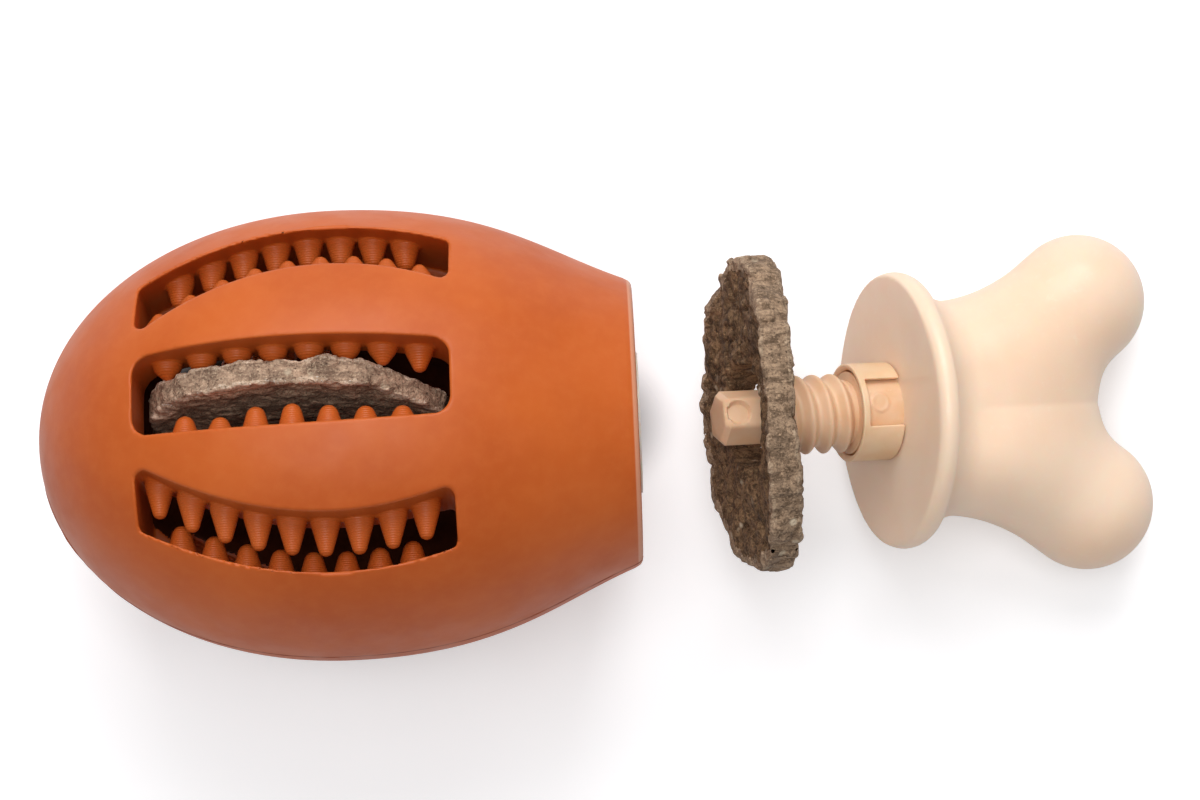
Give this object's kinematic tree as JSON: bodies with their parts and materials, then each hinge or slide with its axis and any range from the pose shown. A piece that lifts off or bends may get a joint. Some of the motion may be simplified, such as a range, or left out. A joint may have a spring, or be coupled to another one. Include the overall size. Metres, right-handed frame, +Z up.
{
  "type": "treat holding chew toy",
  "caption": "Slotted rubber barrel with soft inner teeth that grips a treat slice, and a bone-shaped handle whose threaded stud carries a treat ring and screws into the barrel's mouth.",
  "frame": {"origin": "middle of the whole toy's box, on the surface that the toy lies on", "axes": "+X along the barrel from its closed end towards the handle, +Z up, +Y away from a viewer in front"},
  "size_m": [0.2096, 0.083, 0.083],
  "materials": {
    "shell_rubber": "satin orange-brown natural rubber",
    "stud_nylon": "satin beige nylon",
    "bone_nylon": "soft satin pinkish beige nylon",
    "treat_slice": "dry fibrous chew with pale specks",
    "treat_ring": "dry fibrous chew with a paler porous rim"
  },
  "bodies": {
    "shell": {"shell_end": "shell_rubber", "shell_belly": "shell_rubber", "shell_mouth": "shell_rubber", "teeth_top_centre": "shell_rubber", "teeth_top_front": "shell_rubber", "teeth_top_back": "shell_rubber", "teeth_base_centre": "shell_rubber", "teeth_base_front": "shell_rubber", "teeth_base_back": "shell_rubber", "threaded_insert": "stud_nylon"},
    "slice": {"treat_slice": "treat_slice"},
    "ring": {"treat_ring": "treat_ring"},
    "collar": {"stud_collar": "stud_nylon"},
    "handle": {"threaded_stud": "stud_nylon", "bone_handle": "bone_nylon"}
  },
  "joints": [
    {"name": "slice_pull", "type": "slide", "parent": "shell", "child": "slice", "axis": [0, 0.2588, 0.9659], "range_m": [0, 0.06]},
    {"name": "handle_swing", "type": "hinge", "parent": "shell", "child": "ring", "pos_m": [-0.00883, 0, -0.02917], "axis": [0, -1, 0], "range_deg": [0, 17.67]},
    {"name": "handle_advance", "type": "slide", "parent": "ring", "child": "collar", "axis": [-0.9528, 0, 0.3035], "range_m": [0, 0.02085]},
    {"name": "handle_twist", "type": "hinge", "parent": "collar", "child": "handle", "pos_m": [0.05306, 0, 0.02528], "axis": [-0.9528, 0, 0.3035], "range_deg": [0, 2085]}
  ],
  "couplings": [
    {"joint": "handle_advance", "follows": "handle_twist", "m_per_rad": 0.00057296}
  ]
}
